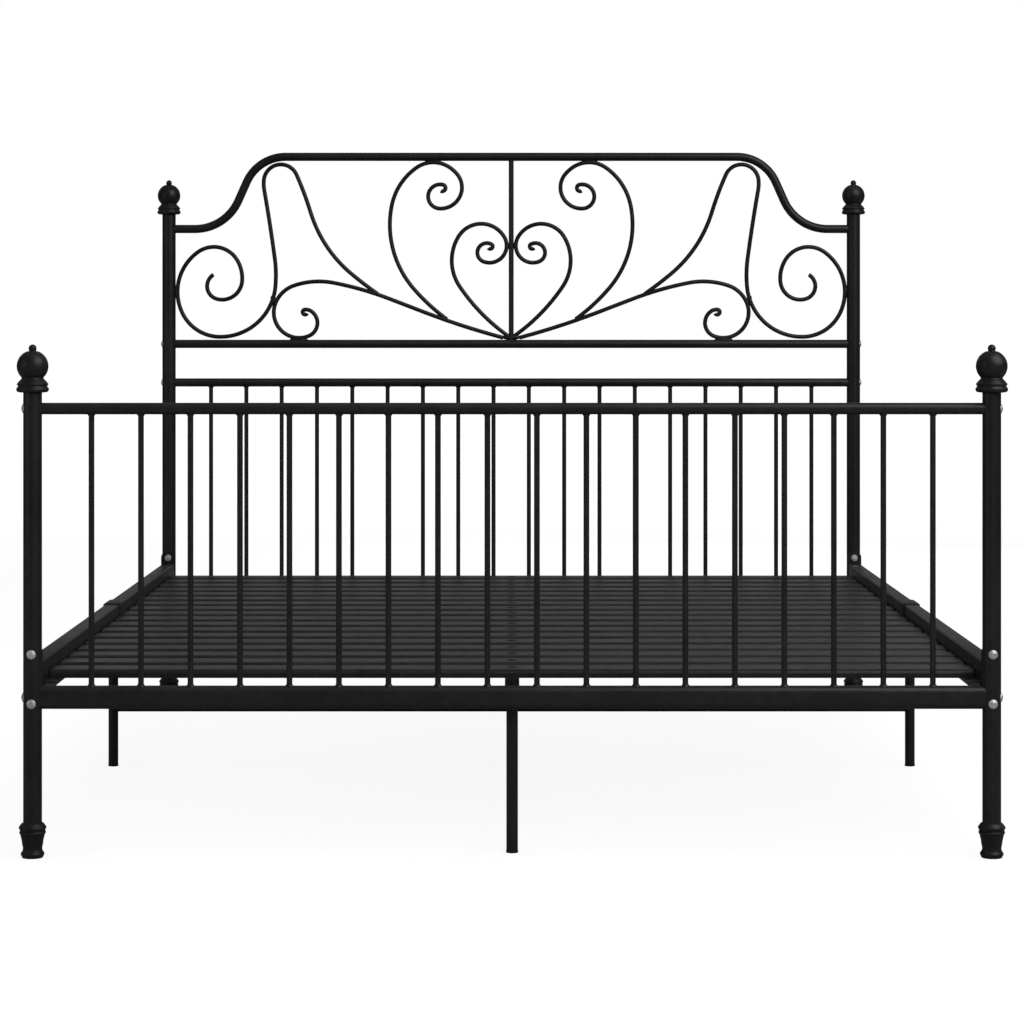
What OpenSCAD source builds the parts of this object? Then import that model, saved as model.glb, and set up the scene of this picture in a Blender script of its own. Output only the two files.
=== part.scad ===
// Metal double bed frame: tubular posts with ball finials, an arched headboard with scrollwork,
// a barred footboard, two-part side rails and a deck of pressed steel slats.
// Millimetres. The origin is on the floor at the middle of the bed,
// +X is to the right seen from the foot end, and +Y runs from the foot to the head.

/* [Overall size] */
// Distance between the post centres across the bed
post_gap = 1640; // [1600:10:1680]
// Distance between the post centres along the bed
post_run = 2040; // [2000:10:2080]
// Top of the head posts, where the finials start
head_post_top = 1170; // [1160:5:1200]
// Top of the foot posts, where the finials start
foot_post_top = 795; // [790:5:840]

/* [Tubes] */
// Diameter of the four corner posts
post_d = 32; // [30:1:34]
// Diameter of the round rails and of the arch
rail_d = 20; // [18:1:22]
// Diameter of the upright bars
bar_d = 10; // [8:1:12]
// Diameter of the scroll rods
rod_d = 10; // [8:1:11]
// Wall of the posts and side rails
wall = 1.5; // [1.2:0.1:2]
// Wall of the rails, bars and legs
thin_wall = 1.2; // [0.8:0.1:1.4]

/* [Rail heights] */
// Centre height of the lower end rails
lower_rail_z = 274; // [270:1:278]
// Centre height of the footboard's top rail and the headboard's bar rail
bar_rail_z = 767.6; // [760:0.2:770]
// Centre height of the rail under the scrollwork
scroll_rail_z = 860; // [858:1:862]
// Centre height of the arch at its ends
arch_end_z = 1135.3; // [1130:0.1:1140]

/* [Upright bars] */
// Number of bars in each end
bar_count = 18; // [12:2:20]
// From a post centre to the first bar
bar_edge = 100.7; // [90:0.1:110]

/* [Slat deck] */
// Number of slats, half of them in each half of the deck
slat_count = 18; // [14:2:18]
// Distance from slat to slat
slat_pitch = 106.8; // [100:0.2:107]
// Width of a slat
slat_w = 74; // [60:1:76]
// Height of a slat
slat_h = 14.6; // [12:0.2:16]
// Top of the slats
deck_z = 312.3; // [312:0.1:316]

/* [Side rails] */
// Width of the side rail tube
side_w = 30; // [28:1:32]
// Height of the side rail tube
side_h = 60; // [58:1:60]
// Centre height of the side rails
side_z = 304.5; // [304:0.5:306]
// Length of the wider socket where the halves join
socket_len = 80; // [70:1:90]

/* [Feet] */
// Height of the turned foot caps
cap_h = 60; // [60]
// Distance of the middle legs and cross beam from the bed's middle
middle_y = 18; // [14:1:22]

/* [Hidden] */
$fn = 48;
hx = post_gap / 2;
hy = post_run / 2;
post_r = post_d / 2;
foot_y = -hy;
head_y = hy;
bar_pitch = (post_gap - 2 * bar_edge) / (bar_count - 1);
slat_seat = deck_z - slat_h;
slat_half_len = hx - 18.5;
slat_wall = 0.9;
slat_roll = 9;
lower_w = 24;
lower_h = 40;
cap_socket_z = 34;
plug_len = 28;
fit = 0.1;
centre_bar_d = 12;
peg_d = 9;
peg_hole_d = 9.4;
tall = 1400;

// bolts of the post joints
bolt_r = 4;
hole_r = 4.2;
head_r = 7.8;
head_len = 2.4;
washer_t = 0.6;
washer_depth = 3.2;
nut_across = 15;
nut_h = 7;
nut_flange_h = 1.2;
nut_bore_r = bolt_r + 0.05;
rail_plug_len = 22;
rail_plug_gap = 3;
side_bolt_zs = [264, 348.5];
foot_bolt_zs = [lower_rail_z, bar_rail_z];
head_bolt_zs = [lower_rail_z, bar_rail_z, scroll_rail_z];

// end plates of the side rails
plate_t = 4;
front_plate_r = 15;
rear_plate_r = 17;

// socket of the side rails
socket_y = -8;
socket_grow = 2.5;
socket_gap = 0.2;
side_corner = 3;
side_inner_corner = 1.5;

// ledge under the slat ends
ledge_w = 20.5;
ledge_t = 2;
ledge_drop = 22;
ledge_x = hx - side_w / 2;

// support under the deck
beam_w = 25;
beam_end = hy - 35;
beam_corner = 2;
beam_inner_corner = 0.8;
cross_h = 20;
leg_d = 20;
stretcher_z = 122;
end_leg_y = hy - 48;
beam_bottom = side_z - side_h / 2 - socket_grow;
beam_h = slat_seat - beam_bottom;
bracket_t = 3;
bracket_top_w = 54;
bracket_stem_w = 23;
bracket_top_h = 8.5;
bracket_top_z = deck_z - 9;
rear_bracket_drop = 4;
end_cap_t = 4;
end_cap_plug = 14;
screw_hole_r = 3.2;
joiner_len = 160;

// Bends of the rods: a starting point [x, z], a heading, then [radius, sweep] pairs.
// A sweep above 0 turns left, one below 0 turns right, and a radius of 0 is a straight of that length.
ring_step = 12;
rod_sides = 8;
arch_sides = 12;
arch_start = [-hx, arch_end_z];
arch_shoulder = [[0, 62], [114, 66], [0, 49], [102, -66]];
outer_scroll_start = [-713, 1026];
outer_scroll_heading = -149.5;
outer_scroll_bends = [
    [32, 135], [48, 99.5], [85, 36], [65, 94], [117, 82.5], [100, 60.5], [132, 86.5], [297, 13],
    [3820, 2.5], [93, -15], [41, -151], [790, -7], [310, 33], [890, 5.2]
];
brace_start = [-488.6, 933.3];
brace_heading = 240.5;
brace_bends = [
    [6, -236], [24, -41], [34, -122.5], [61, -135], [73, -47], [185, -30], [800, -10],
    [0, 89], [1850, 6], [0, 5]
];
outer_heart_start = [-154, 919];
outer_heart_heading = 143.5;
outer_heart_bends = [
    [0, 4], [475, -12.5], [235, -52], [146, -44], [70, -70.5], [91, -13.5], [50, -66.5], [51, -67.5],
    [29, -190], [8, -195.5]
];
inner_heart_start = [-6, 878];
inner_heart_heading = 145;
inner_heart_bends = [
    [460, -21], [111, -65], [64, -118.5], [41, -140.5], [23, -187.5], [6, -205]
];

black = "#1d1d1f";
cap_black = "#202022";
zinc = "#a9abad";

// ---- helpers ----

// Points on an arc about [cx, cy] from angle a to angle b
function arc(cx, cy, r, a, b, n = 8) =
    [for (i = [0 : n]) let (t = a + (b - a) * i / n) [cx + r * cos(t), cy + r * sin(t)]];

// Where a bend [radius, sweep] that starts at point p with heading h comes out
function bend_end(p, h, b) =
    b[0] == 0
        ? p + b[1] * [cos(h), sin(h)]
        : let (side = sign(b[1]))
          p + side * b[0] * [sin(h + b[1]) - sin(h), cos(h) - cos(h + b[1])];

// Where a whole run of bends comes out
function run_end(p, h, bends, i = 0) =
    i == len(bends)
        ? p
        : let (b = bends[i])
          run_end(bend_end(p, h, b), b[0] == 0 ? h : h + b[1], bends, i + 1);

// The whole arch: its left shoulder, the straight top and the right shoulder
arch_shoulder_end = run_end(arch_start, 0, arch_shoulder);
arch_top_z = arch_shoulder_end[1];
arch_bends = concat(
    arch_shoulder,
    [[0, -2 * arch_shoulder_end[0]]],
    [for (i = [len(arch_shoulder) - 1 : -1 : 0]) arch_shoulder[i]]
);

// Rings [x, z, heading] along a run of bends, one every ring_step degrees
function bend_rings(p, h, b) =
    let (n = b[0] == 0 ? 1 : ceil(abs(b[1]) / ring_step))
    [for (i = [1 : n])
        let (part = [b[0], b[1] * i / n], q = bend_end(p, h, part))
        [q[0], q[1], b[0] == 0 ? h : h + part[1]]];

function run_rings(p, h, bends, i = 0) =
    i == len(bends)
        ? []
        : let (b = bends[i])
          concat(
              bend_rings(p, h, b),
              run_rings(bend_end(p, h, b), b[0] == 0 ? h : h + b[1], bends, i + 1)
          );

function ring_points(rings, y, r, sides) =
    [for (g = rings, k = [0 : sides - 1])
        let (a = 360 * k / sides, off = r * cos(a))
        [g[0] - off * sin(g[2]), y + r * sin(a), g[1] + off * cos(g[2])]];

// Faces of the skin between neighbouring rings, starting at point number base
function skin(count, sides, base) =
    [for (i = [0 : count - 2], k = [0 : sides - 1])
        let (m = (k + 1) % sides, lo = base + i * sides, hi = lo + sides)
        [lo + k, lo + m, hi + m, hi + k]];

function reversed(faces) = [for (f = faces) [f[3], f[2], f[1], f[0]]];

// A rod swept along a run of bends in the plane of the given y
module swept_rod(y, start, heading, bends, d, sides) {
    rings = concat([[start[0], start[1], heading]], run_rings(start, heading, bends));
    last = (len(rings) - 1) * sides;
    polyhedron(
        ring_points(rings, y, d / 2, sides),
        concat(
            skin(len(rings), sides, 0),
            [[for (k = [sides - 1 : -1 : 0]) k]],
            [[for (k = [0 : sides - 1]) last + k]]
        )
    );
}

// The same as a tube with a wall
module swept_tube(y, start, heading, bends, d, wall_t, sides) {
    rings = concat([[start[0], start[1], heading]], run_rings(start, heading, bends));
    count = len(rings);
    inner = count * sides;
    last = inner - sides;
    ends = [for (k = [0 : sides - 1])
        let (m = (k + 1) % sides) [inner + k, inner + m, m, k]];
    far_ends = [for (k = [0 : sides - 1])
        let (m = (k + 1) % sides)
        [last + k, last + m, inner + last + m, inner + last + k]];
    polyhedron(
        concat(
            ring_points(rings, y, d / 2, sides),
            ring_points(rings, y, d / 2 - wall_t, sides)
        ),
        concat(skin(count, sides, 0), reversed(skin(count, sides, inner)), ends, far_ends)
    );
}

// A rectangle with round corners, centred
module round_rect(w, h, r) {
    square([w - 2 * r, h], center = true);
    square([w, h - 2 * r], center = true);
    for (sx = [-1, 1], sy = [-1, 1])
        translate([sx * (w / 2 - r), sy * (h / 2 - r)]) circle(r);
}

// A round tube along Z from height z0 to z1
module tube_z(d, t, z0, z1) {
    translate([0, 0, z0])
        difference() {
            cylinder(d = d, h = z1 - z0);
            translate([0, 0, -1]) cylinder(d = d - 2 * t, h = z1 - z0 + 2);
        }
}

module rod_x(d, x0, x1) {
    translate([x0, 0, 0]) rotate([0, 90, 0]) cylinder(d = d, h = x1 - x0);
}

module rod_y(d, y0, y1) {
    translate([0, y0, 0]) rotate([-90, 0, 0]) cylinder(d = d, h = y1 - y0);
}

// Full section of a lower end rail, along X at the origin
module lower_rail_solid(half, trim = 0) {
    rotate([90, 0, 90])
        translate([0, 0, -half])
            linear_extrude(2 * half)
                round_rect(lower_w - 2 * trim, lower_h - 2 * trim, lower_w / 2 - trim - 0.01);
}

// Both posts of one end as plain cylinders, for cutting saddle ends
module post_cutters(y) {
    for (sx = [-1, 1])
        translate([sx * hx, y, 0]) cylinder(r = post_r, h = tall);
}

// ---- posts, finials and feet ----

module post(sx, y, top, rail_zs, peg_z = 0) {
    color(black)
        translate([sx * hx, y, 0])
            difference() {
                tube_z(post_d, wall, cap_socket_z, top);
                for (z = rail_zs)
                    translate([0, 0, z]) rod_x(2 * hole_r, -post_r - 1, post_r + 1);
                for (z = side_bolt_zs)
                    translate([0, 0, z]) rod_y(2 * hole_r, -post_r - 1, post_r + 1);
                if (peg_z > 0)
                    translate([0, 0, peg_z])
                        rod_x(peg_hole_d, sx > 0 ? -post_r - 1 : 0, sx > 0 ? 0 : post_r + 1);
            }
}

// Ball finial: a bead, a ball, a waisted neck and two flanges, with a plug that enters the post
finial_outline = concat(
    [[0, 82.3]],
    arc(0, 75.5, 6.8, 84, -28, 8),
    arc(7.6, 71.4, 1.3, 150, 230, 2),
    arc(0, 45.2, 27, 70, -44, 16),
    arc(21.4, 25, 2.6, 160, 222, 4),
    [[21.4, 21.4], [23.8, 18.8]],
    arc(24.9, 14.4, 2, 66, -66, 6),
    arc(26.4, 11, 1.3, 132, 218, 3),
    arc(22.8, 5.4, 5, 58, -90, 8),
    [[19, 0], [post_r - wall - 0.3, 0]],
    [[post_r - wall - 0.3, -plug_len + 2], [post_r - wall - 2, -plug_len], [0, -plug_len]]
);

module finial(sx, y, top) {
    color(black)
        translate([sx * hx, y, top])
            rotate_extrude() polygon(finial_outline);
}

// Vase-shaped foot cap with a socket for the post
foot_outline = concat(
    [[0, 0], [13, 0], [17.5, 1.2]],
    arc(15.2, 6.6, 4.9, -50, 55, 6),
    arc(31.5, 16.5, 15, 205, 160, 6),
    [[18.6, 31], [20.4, 37]],
    arc(19.3, 43.4, 3.2, -35, 55, 5),
    arc(19.3, 51.6, 4, -50, 60, 7),
    [[19.5, 57.8], [17.4, 59.4], [post_r + fit, cap_h]],
    [[post_r + fit, cap_socket_z], [0, cap_socket_z]]
);

module foot_cap(sx, y) {
    color(cap_black)
        translate([sx * hx, y, 0])
            rotate_extrude() polygon(foot_outline);
}

// ---- headboard ----

module arch_rail() {
    color(black)
        difference() {
            swept_tube(head_y, arch_start, 0, arch_bends, rail_d, thin_wall, arch_sides);
            post_cutters(head_y);
        }
}

module round_rail(y, z) {
    color(black)
        difference() {
            translate([0, y, z])
                difference() {
                    rod_x(rail_d, -hx, hx);
                    rod_x(rail_d - 2 * thin_wall, -hx - 1, hx + 1);
                }
            post_cutters(y);
        }
}

module lower_rail(y) {
    color(black)
        difference() {
            translate([0, y, lower_rail_z])
                difference() {
                    lower_rail_solid(hx);
                    lower_rail_solid(hx + 1, wall);
                }
            post_cutters(y);
        }
}

module centre_bar() {
    color(black)
        difference() {
            translate([0, head_y, 0]) tube_z(centre_bar_d, thin_wall, scroll_rail_z, arch_top_z);
            translate([0, head_y, scroll_rail_z]) rod_x(rail_d, -20, 20);
            translate([0, head_y, arch_top_z]) rod_x(rail_d, -20, 20);
        }
}

module scroll_rod(start, heading, bends, right) {
    color(black)
        mirror([right ? 1 : 0, 0, 0])
            swept_rod(head_y, start, heading, bends, rod_d, rod_sides);
}

// Upright bars between a lower rail and the bar rail, with ends cut to fit round the rails
module upright_bars(y) {
    color(black)
        difference() {
            for (i = [0 : bar_count - 1])
                translate([-hx + bar_edge + i * bar_pitch, y, 0])
                    tube_z(bar_d, thin_wall, lower_rail_z, bar_rail_z);
            translate([0, y, lower_rail_z]) lower_rail_solid(hx - 20);
            translate([0, y, bar_rail_z]) rod_x(rail_d, -hx + 20, hx - 20);
        }
}

// Plug in each end of the arch, with a peg that enters the post
module arch_end_pegs() {
    color(zinc)
        for (sx = [-1, 1])
            translate([sx * hx, head_y, arch_end_z])
                mirror([sx > 0 ? 1 : 0, 0, 0]) {
                    rod_x(rail_d - 2 * thin_wall - 2 * fit, post_r + 4, post_r + 24);
                    rod_x(peg_d, post_r - 8, post_r + 4);
                }
}

// ---- side rails ----

module along_y(sx, y0, y1) {
    translate([sx * hx, y0, side_z])
        rotate([90, 0, 180])
            linear_extrude(y1 - y0) children();
}

module side_rail_front(sx) {
    y0 = foot_y + post_r + plate_t;
    y1 = socket_y + socket_len - 6;
    color(black)
        difference() {
            along_y(sx, y0, y1) round_rect(side_w, side_h, side_corner);
            along_y(sx, y0 - 1, y1 + 1)
                round_rect(side_w - 2 * wall, side_h - 2 * wall, side_inner_corner);
        }
}

// The rear half starts with a wider socket that the front half slides into
module side_rail_rear(sx) {
    y1 = head_y - post_r - plate_t;
    socket_end = socket_y + socket_len;
    grow = 2 * socket_grow;
    color(black)
        difference() {
            union() {
                along_y(sx, socket_y, socket_end) round_rect(side_w + grow, side_h + grow, side_corner + 1);
                along_y(sx, socket_end, y1) round_rect(side_w, side_h, side_corner);
            }
            along_y(sx, socket_y - 1, socket_end - 4)
                round_rect(side_w + 2 * socket_gap, side_h + 2 * socket_gap, side_corner);
            along_y(sx, socket_end - 4.5, y1 + 1)
                round_rect(side_w - 2 * wall, side_h - 2 * wall, side_inner_corner);
        }
}

module end_plate(r) {
    rotate([90, 0, 0])
        linear_extrude(plate_t, center = true)
            difference() {
                union() {
                    translate([-r, side_bolt_zs[0]])
                        square([2 * r, side_bolt_zs[1] - side_bolt_zs[0]]);
                    for (z = side_bolt_zs) translate([0, z]) circle(r);
                }
                for (z = side_bolt_zs) translate([0, z]) circle(hole_r);
            }
}

// A plate with round ends on each end of a side rail, bolted to the post through two holes
module side_rail_end_plates() {
    color(black)
        for (sx = [-1, 1]) {
            translate([sx * hx, post_r + plate_t / 2 - hy, 0]) end_plate(front_plate_r);
            translate([sx * hx, hy - post_r - plate_t / 2, 0]) end_plate(rear_plate_r);
        }
}

// Angle strips along the inside of the side rails; the slat ends rest on them
module slat_ledges() {
    front_y0 = foot_y + post_r + plate_t + 1;
    rear_y1 = head_y - post_r - plate_t - 1;
    rear_y0 = socket_y + 4;
    upright_y0 = socket_y + socket_len + 10;
    color(black)
        for (sx = [-1, 1])
            mirror([sx > 0 ? 1 : 0, 0, 0]) {
                ledge_strip(front_y0, socket_y - 4, front_y0);
                ledge_strip(rear_y0, rear_y1, upright_y0);
            }
}

module ledge_strip(y0, y1, upright_y0) {
    flat_x = -ledge_x + socket_grow;
    translate([flat_x, y0, slat_seat - ledge_t]) cube([ledge_w, y1 - y0, ledge_t]);
    translate([-ledge_x, upright_y0, slat_seat - ledge_drop])
        cube([socket_grow, y1 - upright_y0, ledge_drop]);
}

// ---- slat deck ----

// Pressed steel channel with rolled top edges, open below
module slat(y) {
    translate([-slat_half_len, y, slat_seat])
        rotate([90, 0, 90])
            linear_extrude(2 * slat_half_len)
                difference() {
                    slat_outline(slat_w, slat_h, slat_roll);
                    slat_outline(slat_w - 2 * slat_wall, slat_h - slat_wall, slat_roll - slat_wall);
                }
}

module slat_outline(w, h, r) {
    intersection() {
        translate([-w / 2, 0]) square([w, h]);
        union() {
            translate([-w / 2 + r, 0]) square([w - 2 * r, h]);
            translate([-w / 2, 0]) square([w, h - r]);
            for (sx = [-1, 1]) translate([sx * (w / 2 - r), h - r]) circle(r);
        }
    }
}

function slat_y(i) = (i - (slat_count - 1) / 2) * slat_pitch;

module slat_group(first, last) {
    color(black)
        difference() {
            for (i = [first : last]) slat(slat_y(i));
            for (i = [first : last])
                translate([0, slat_y(i), slat_seat]) cylinder(r = screw_hole_r, h = slat_h + 1);
        }
}

// Flat-headed screws that hold the middle of each slat to the centre beam
slat_screw_outline = concat(
    [[0, 2.2], [7, 1.9], [12, 0.9], [13, 0]],
    [[3, 0], [3, -slat_h - 6], [0, -slat_h - 6]]
);

module slat_screws() {
    color(black)
        for (i = [0 : slat_count - 1])
            translate([0, slat_y(i), deck_z])
                rotate_extrude()
                    polygon(slat_screw_outline);
}

// ---- support under the deck ----

module beam_half(y0, y1, first, last) {
    color(black)
        difference() {
            translate([0, y0, beam_bottom + beam_h / 2])
                rotate([90, 0, 180])
                    linear_extrude(y1 - y0)
                        difference() {
                            round_rect(beam_w, beam_h, beam_corner);
                            round_rect(beam_w - 2 * wall, beam_h - 2 * wall, beam_inner_corner);
                        }
            for (i = [first : last])
                translate([0, slat_y(i), slat_seat - 4]) cylinder(r = screw_hole_r, h = 6);
        }
}

// Smaller tube inside the joint of the two beam halves, notched under the slat screws
module centre_beam_joiner() {
    w = beam_w - 2 * wall - 2 * fit;
    h = beam_h - 2 * wall - 2 * fit;
    mid = slat_count / 2;
    color(black)
        difference() {
            translate([0, middle_y - joiner_len / 2, beam_bottom + beam_h / 2])
                rotate([90, 0, 180])
                    linear_extrude(joiner_len)
                        difference() {
                            round_rect(w, h, beam_inner_corner);
                            square([w - 2 * wall, h - 2 * wall], center = true);
                        }
            for (i = [mid - 1, mid])
                translate([0, slat_y(i), slat_seat - 8]) cylinder(r = screw_hole_r, h = 10);
        }
}

// T-shaped bracket at each end of the centre beam, with a tongue to the lower end rail
module centre_beam_brackets() {
    tongue = hy - lower_w / 2 - beam_end - bracket_t;
    color(black)
        for (sy = [-1, 1])
            mirror([0, sy > 0 ? 1 : 0, 0]) {
                top_z = bracket_top_z - (sy > 0 ? rear_bracket_drop : 0);
                translate([-bracket_top_w / 2, -beam_end - bracket_t, top_z])
                    cube([bracket_top_w, bracket_t, bracket_top_h]);
                translate([-bracket_stem_w / 2, -beam_end - bracket_t, beam_bottom])
                    cube([bracket_stem_w, bracket_t, top_z - beam_bottom]);
                translate([-bracket_stem_w / 2, -beam_end - bracket_t - tongue, beam_bottom])
                    cube([bracket_stem_w, tongue, bracket_t]);
            }
}

module middle_leg_cutters() {
    for (x = [-hx, hx]) translate([x, middle_y, 0]) cylinder(d = leg_d, h = side_z);
}

module middle_cross_beam() {
    color(black)
        difference() {
            translate([-hx, middle_y, beam_bottom - cross_h / 2])
                rotate([90, 0, 90])
                    linear_extrude(2 * hx)
                        difference() {
                            round_rect(cross_h, cross_h, beam_corner);
                            square(cross_h - 2 * thin_wall, center = true);
                        }
            middle_leg_cutters();
        }
}

module leg(x, y, top) {
    color(black) translate([x, y, 0]) tube_z(leg_d, thin_wall, end_cap_t, top);
}

// Low bars that tie the middle legs to the middle centre leg
module middle_stretchers() {
    color(black)
        difference() {
            translate([0, middle_y, stretcher_z])
                difference() {
                    rod_x(leg_d, -hx, hx);
                    rod_x(leg_d - 2 * thin_wall, -hx - 1, hx + 1);
                }
            middle_leg_cutters();
            translate([0, middle_y, 0]) cylinder(d = leg_d, h = side_z);
        }
}

leg_places = [
    [-hx, middle_y], [hx, middle_y], [0, -end_leg_y], [0, middle_y], [0, end_leg_y]
];

module leg_end_caps() {
    color(cap_black)
        for (p = leg_places)
            translate([p[0], p[1], 0]) {
                cylinder(d = leg_d, h = end_cap_t);
                translate([0, 0, end_cap_t])
                    cylinder(d = leg_d - 2 * thin_wall - 2 * fit, h = end_cap_plug);
            }
}

// ---- fasteners ----

// Every bolt through a post into a rail: [side, y, z]
rail_bolt_places = concat(
    [for (sx = [-1, 1], z = foot_bolt_zs) [sx, foot_y, z]],
    [for (sx = [-1, 1], z = head_bolt_zs) [sx, head_y, z]]
);

// Dome-headed bolt along +Z with its head's seat at the origin and its shank below
module bolt(shank) {
    rotate_extrude()
        polygon(concat(
            [[2.6, 1.1]],
            [[2.6, head_len]],
            arc(0, head_len - 16, 16, 80, 62, 4),
            [[head_r, 0], [bolt_r, 0], [bolt_r, -shank], [0, -shank], [0, 1.1]]
        ));
}

module rail_bolts() {
    color(zinc)
        for (b = rail_bolt_places)
            translate([b[0] * (hx + post_r + washer_t), b[1], b[2]])
                rotate([0, b[0] * 90, 0]) bolt(2 * post_r + 24);
}

// Threaded plug inside each bolted rail end
module rail_end_plugs() {
    color(zinc)
        for (b = rail_bolt_places)
            translate([b[0] * hx, b[1], b[2]])
                mirror([b[0] > 0 ? 1 : 0, 0, 0])
                    translate([post_r + rail_plug_gap, 0, 0])
                        rotate([0, 90, 0])
                            linear_extrude(rail_plug_len)
                                difference() {
                                    plug_outline(b[2] == lower_rail_z);
                                    circle(nut_bore_r);
                                }
}

module plug_outline(oval) {
    if (oval) {
        trim = wall + fit;
        round_rect(lower_h - 2 * trim, lower_w - 2 * trim, lower_w / 2 - trim - 0.01);
    } else {
        circle(d = rail_d - 2 * thin_wall - 2 * fit);
    }
}

module side_rail_bolts() {
    color(zinc)
        for (sx = [-1, 1], sy = [-1, 1], z = side_bolt_zs)
            translate([sx * hx, sy * (hy + post_r + washer_t), z])
                rotate([-sy * 90, 0, 0]) bolt(2 * post_r + plate_t + 9);
}

// Flanged nuts on the side rail bolts, against the end plates
module side_rail_nuts() {
    color(zinc)
        for (sx = [-1, 1], sy = [-1, 1], z = side_bolt_zs)
            translate([sx * hx, sy * (hy - post_r - plate_t), z])
                rotate([sy * 90, 0, 0])
                    difference() {
                        union() {
                            cylinder(r = head_r, h = nut_flange_h);
                            cylinder(d = nut_across, h = nut_h, $fn = 6);
                        }
                        translate([0, 0, -1]) cylinder(r = nut_bore_r, h = nut_h + 2);
                    }
}

// Washers hollowed to sit on the round posts, one under each bolt head
module saddle_washers() {
    color(zinc)
        difference() {
            union() {
                for (b = rail_bolt_places)
                    translate([b[0] * (hx + post_r + washer_t), b[1], b[2]])
                        rotate([0, b[0] * 90, 0]) washer_blank();
                for (sx = [-1, 1], sy = [-1, 1], z = side_bolt_zs)
                    translate([sx * hx, sy * (hy + post_r + washer_t), z])
                        rotate([-sy * 90, 0, 0]) washer_blank();
            }
            for (sy = [-1, 1]) post_cutters(sy * hy);
        }
}

module washer_blank() {
    translate([0, 0, -washer_depth])
        difference() {
            cylinder(r = head_r, h = washer_depth);
            translate([0, 0, -1]) cylinder(r = hole_r, h = washer_depth + 2);
        }
}

// ---- parts ----

post(-1, foot_y, foot_post_top, foot_bolt_zs);  // foot_post_left
post(1, foot_y, foot_post_top, foot_bolt_zs);  // foot_post_right
post(-1, head_y, head_post_top, head_bolt_zs, arch_end_z);  // head_post_left
post(1, head_y, head_post_top, head_bolt_zs, arch_end_z);  // head_post_right
finial(-1, foot_y, foot_post_top);  // foot_finial_left
finial(1, foot_y, foot_post_top);  // foot_finial_right
finial(-1, head_y, head_post_top);  // head_finial_left
finial(1, head_y, head_post_top);  // head_finial_right
foot_cap(-1, foot_y);  // front_foot_left
foot_cap(1, foot_y);  // front_foot_right
foot_cap(-1, head_y);  // rear_foot_left
foot_cap(1, head_y);  // rear_foot_right
arch_rail();
round_rail(head_y, scroll_rail_z);  // scroll_rail
round_rail(head_y, bar_rail_z);  // headboard_bar_rail
lower_rail(head_y);  // headboard_lower_rail
centre_bar();
scroll_rod(outer_scroll_start, outer_scroll_heading, outer_scroll_bends, false);  // outer_scroll_left
scroll_rod(outer_scroll_start, outer_scroll_heading, outer_scroll_bends, true);  // outer_scroll_right
scroll_rod(brace_start, brace_heading, brace_bends, false);  // curl_brace_left
scroll_rod(brace_start, brace_heading, brace_bends, true);  // curl_brace_right
scroll_rod(outer_heart_start, outer_heart_heading, outer_heart_bends, false);  // outer_heart_left
scroll_rod(outer_heart_start, outer_heart_heading, outer_heart_bends, true);  // outer_heart_right
scroll_rod(inner_heart_start, inner_heart_heading, inner_heart_bends, false);  // inner_heart_left
scroll_rod(inner_heart_start, inner_heart_heading, inner_heart_bends, true);  // inner_heart_right
upright_bars(head_y);  // headboard_bars
arch_end_pegs();
round_rail(foot_y, bar_rail_z);  // footboard_top_rail
lower_rail(foot_y);  // footboard_lower_rail
upright_bars(foot_y);  // footboard_bars
side_rail_front(-1);  // side_rail_front_left
side_rail_front(1);  // side_rail_front_right
side_rail_rear(-1);  // side_rail_rear_left
side_rail_rear(1);  // side_rail_rear_right
side_rail_end_plates();
slat_ledges();
slat_group(0, slat_count / 2 - 1);  // front_slats
slat_group(slat_count / 2, slat_count - 1);  // rear_slats
slat_screws();
beam_half(-beam_end, middle_y, 0, slat_count / 2 - 1);  // centre_beam_front
beam_half(middle_y, beam_end, slat_count / 2, slat_count - 1);  // centre_beam_rear
centre_beam_joiner();
centre_beam_brackets();
middle_cross_beam();
leg(-hx, middle_y, beam_bottom);  // middle_leg_left
leg(hx, middle_y, beam_bottom);  // middle_leg_right
middle_stretchers();
leg(0, -end_leg_y, beam_bottom);  // centre_leg_front
leg(0, middle_y, beam_bottom - cross_h);  // centre_leg_middle
leg(0, end_leg_y, beam_bottom);  // centre_leg_rear
leg_end_caps();
rail_end_plugs();
rail_bolts();
side_rail_bolts();
side_rail_nuts();
saddle_washers();
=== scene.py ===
import math
import random

import bmesh
import bpy
from mathutils import Matrix, Vector


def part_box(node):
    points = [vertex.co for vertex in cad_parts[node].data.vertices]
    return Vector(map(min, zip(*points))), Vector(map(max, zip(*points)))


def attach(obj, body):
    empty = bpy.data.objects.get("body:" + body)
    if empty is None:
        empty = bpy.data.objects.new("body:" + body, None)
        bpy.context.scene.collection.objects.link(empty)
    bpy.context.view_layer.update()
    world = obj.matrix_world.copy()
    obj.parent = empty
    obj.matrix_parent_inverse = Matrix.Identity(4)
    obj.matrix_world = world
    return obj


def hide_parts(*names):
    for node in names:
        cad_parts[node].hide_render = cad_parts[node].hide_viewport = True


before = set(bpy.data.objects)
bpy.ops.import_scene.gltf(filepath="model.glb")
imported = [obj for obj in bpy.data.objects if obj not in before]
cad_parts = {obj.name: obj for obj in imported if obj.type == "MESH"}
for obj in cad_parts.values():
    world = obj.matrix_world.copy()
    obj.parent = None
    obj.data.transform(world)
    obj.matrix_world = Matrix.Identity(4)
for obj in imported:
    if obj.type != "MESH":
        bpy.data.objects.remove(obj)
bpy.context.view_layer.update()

scene = bpy.context.scene
random.seed(11)


# reading the frame, in millimetres

def boxOf(node):
    low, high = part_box(node)
    return low * 1000, high * 1000


def middleOf(node):
    low, high = boxOf(node)
    return (low + high) / 2


postRight = middleOf("foot_post_right")
halfWidth = postRight.x  # post centre from the bed's middle line
footY = postRight.y
headY = middleOf("head_post_right").y
sides = (-1, 1)
sideNames = {-1: "left", 1: "right"}


# camera

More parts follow.
